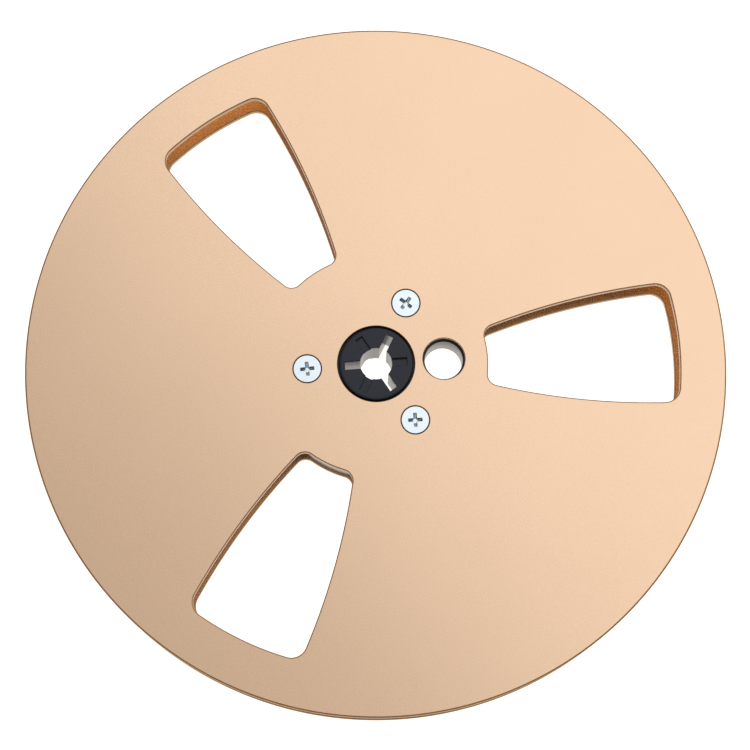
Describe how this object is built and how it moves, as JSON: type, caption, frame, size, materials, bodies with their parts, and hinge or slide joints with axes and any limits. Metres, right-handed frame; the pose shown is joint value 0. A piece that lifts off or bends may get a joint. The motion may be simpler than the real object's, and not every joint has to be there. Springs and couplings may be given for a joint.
{
  "type": "open tape reel",
  "caption": "Open reel for quarter-inch recording tape: two windowed gold-anodised flanges screwed to a black hub with a splined spindle centre and a finger hole.",
  "frame": {"origin": "on the reel's axis, in the plane of the hub's rear seat, at the bottom centre of the box", "axes": "+Z along the reel's axis and out of the front flange; +X through the finger hole and the first window; the reel lies flat on XY"},
  "size_m": [0.1778, 0.1778, 0.0131],
  "materials": {
    "flange": "fine bead-blasted, champagne-gold anodised",
    "hub": "satin black, turned or moulded",
    "screw": "bright blue-white zinc plate"
  },
  "bodies": {
    "root": {"front_flange": "flange", "rear_flange": "flange", "hub": "hub", "front_screw_1": "screw", "front_screw_2": "screw", "front_screw_3": "screw", "rear_screw_1": "screw", "rear_screw_2": "screw", "rear_screw_3": "screw"}
  },
  "joints": []
}
